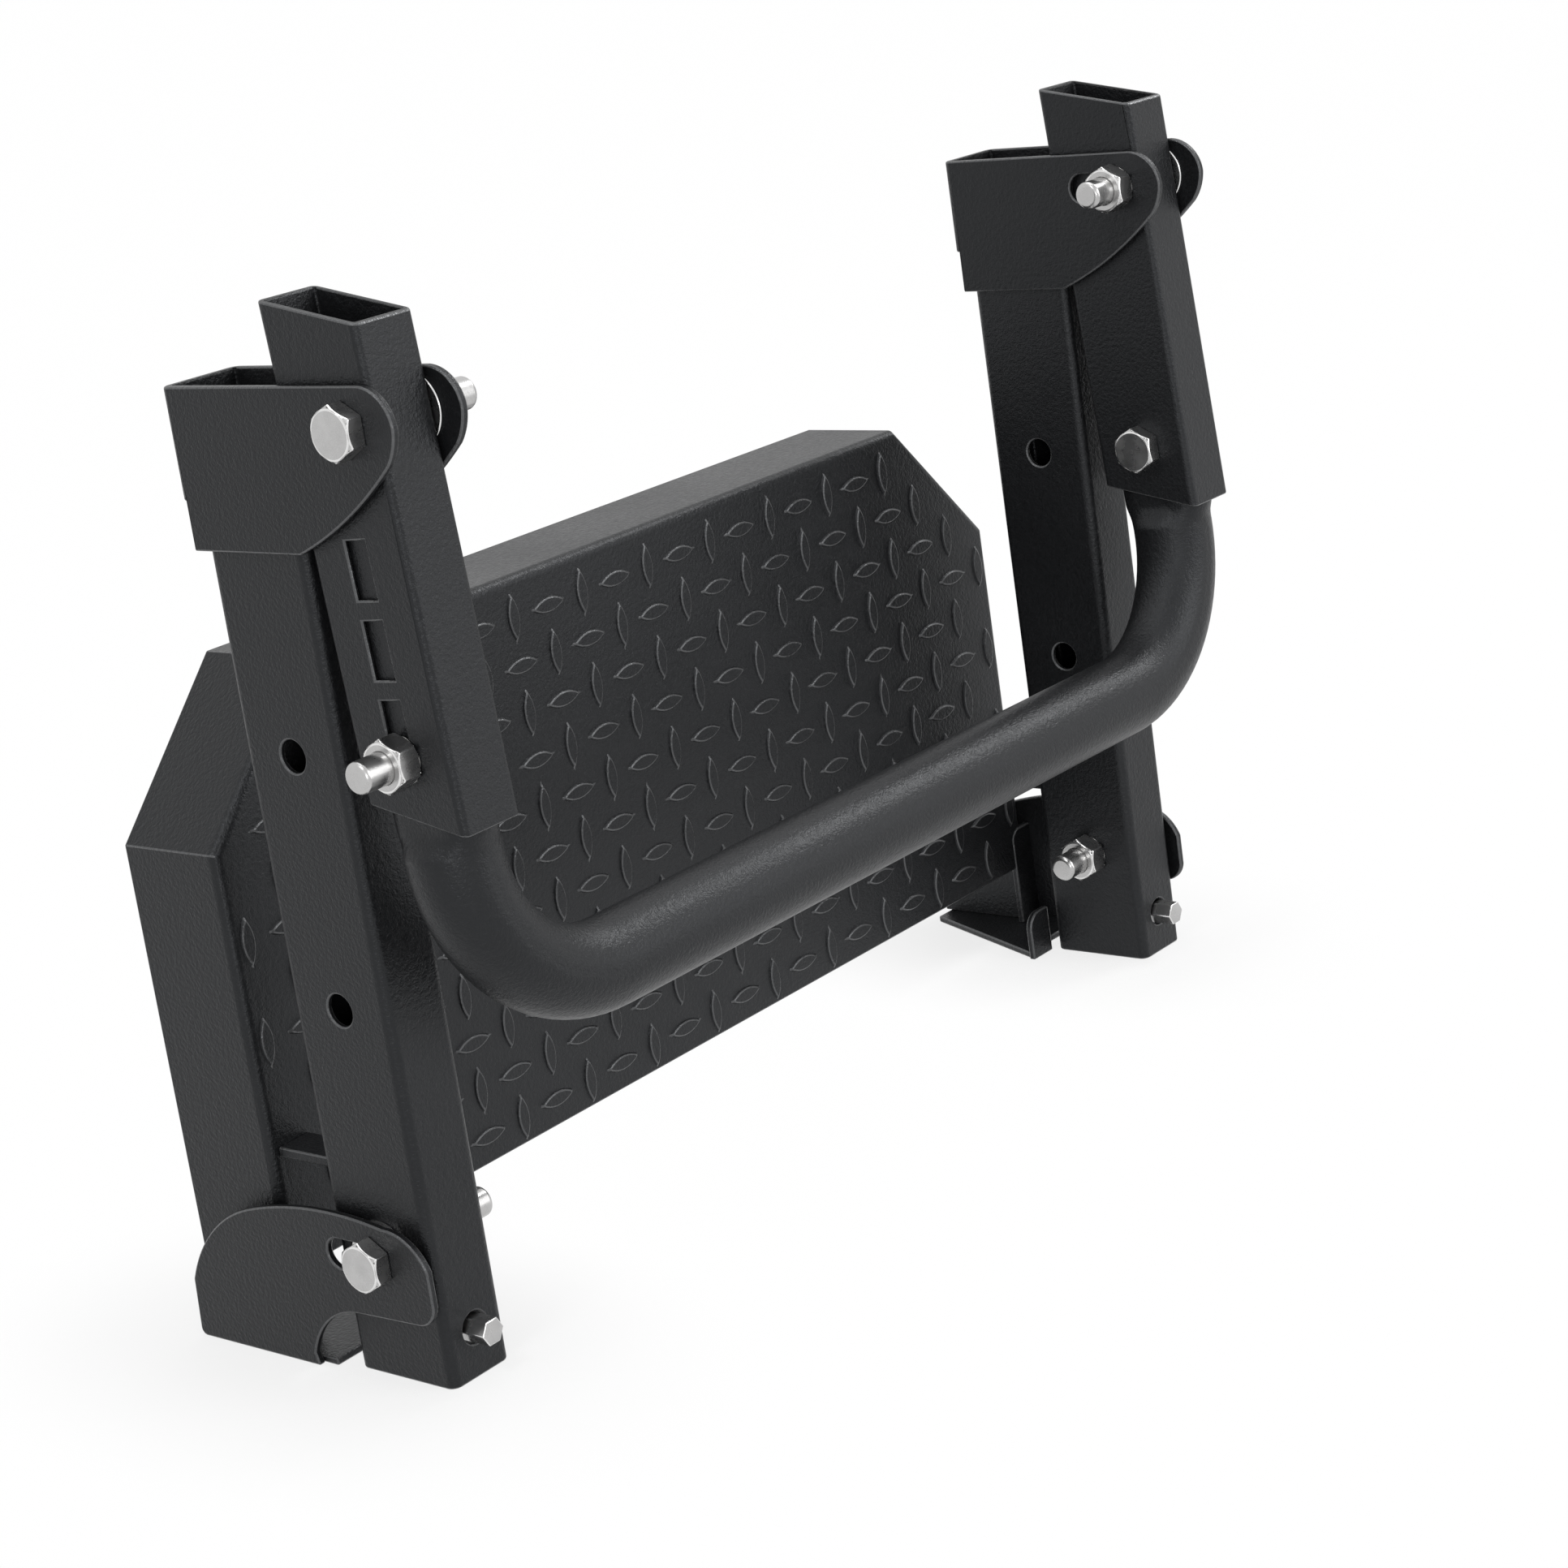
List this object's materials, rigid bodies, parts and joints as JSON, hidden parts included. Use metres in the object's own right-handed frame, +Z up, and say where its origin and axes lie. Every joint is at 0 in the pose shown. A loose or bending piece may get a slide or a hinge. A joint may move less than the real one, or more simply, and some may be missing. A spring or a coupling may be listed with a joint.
{
  "type": "tire step",
  "caption": "Folding step for a vehicle wheel: twin legs, a hinged tube hoop that rests on the tyre, and a checkered platform hinged at the feet.",
  "frame": {"origin": "middle of the folded step's footprint, on the ground", "axes": "+X across the step, +Y from the tyre side towards the platform, +Z up the legs"},
  "size_m": [0.537, 0.1912, 0.4047],
  "materials": {
    "powder_coat": "satin black powder coat with a fine grain",
    "bright_steel": "satin plated steel"
  },
  "bodies": {
    "legs": {"leg_tube_right": "powder_coat", "leg_tube_left": "powder_coat", "arm_bracket_right": "powder_coat", "arm_bracket_left": "powder_coat", "arm_pivot_bolt_right": "bright_steel", "arm_pivot_bolt_left": "bright_steel", "arm_pivot_nut_right": "bright_steel", "arm_pivot_nut_left": "bright_steel", "arm_pivot_sleeve_right": "bright_steel", "arm_pivot_sleeve_left": "bright_steel", "arm_thrust_washers_right": "bright_steel", "arm_thrust_washers_left": "bright_steel", "platform_pivot_bolt_right": "bright_steel", "platform_pivot_bolt_left": "bright_steel", "platform_pivot_nut_right": "bright_steel", "platform_pivot_nut_left": "bright_steel", "hinge_spacer_right": "bright_steel", "hinge_spacer_left": "bright_steel", "hinge_sleeve_right": "bright_steel", "hinge_sleeve_left": "bright_steel", "levelling_screw_right": "bright_steel", "levelling_screw_left": "bright_steel", "levelling_nut_right": "bright_steel", "levelling_nut_left": "bright_steel"},
    "arms": {"hoop": "powder_coat", "arm_tube_right": "powder_coat", "arm_tube_left": "powder_coat", "hoop_bolt_right": "bright_steel", "hoop_bolt_left": "bright_steel", "hoop_nut_right": "bright_steel", "hoop_nut_left": "bright_steel"},
    "platform": {"platform_tray": "powder_coat", "hinge_ear_right": "powder_coat", "hinge_ear_left": "powder_coat", "bearing_foot_right": "powder_coat", "bearing_foot_left": "powder_coat", "stop_tab_right": "powder_coat", "stop_tab_left": "powder_coat"}
  },
  "joints": [
    {"name": "arms_swing", "type": "hinge", "parent": "legs", "child": "arms", "pos_m": [0, -0.07291, 0.361], "axis": [-1, 0, 0], "range_deg": [-2.5, 86.4]},
    {"name": "platform_fold", "type": "hinge", "parent": "legs", "child": "platform", "pos_m": [0, -0.01289, 0.05], "axis": [-1, 0, 0], "range_deg": [-2, 90]}
  ]
}
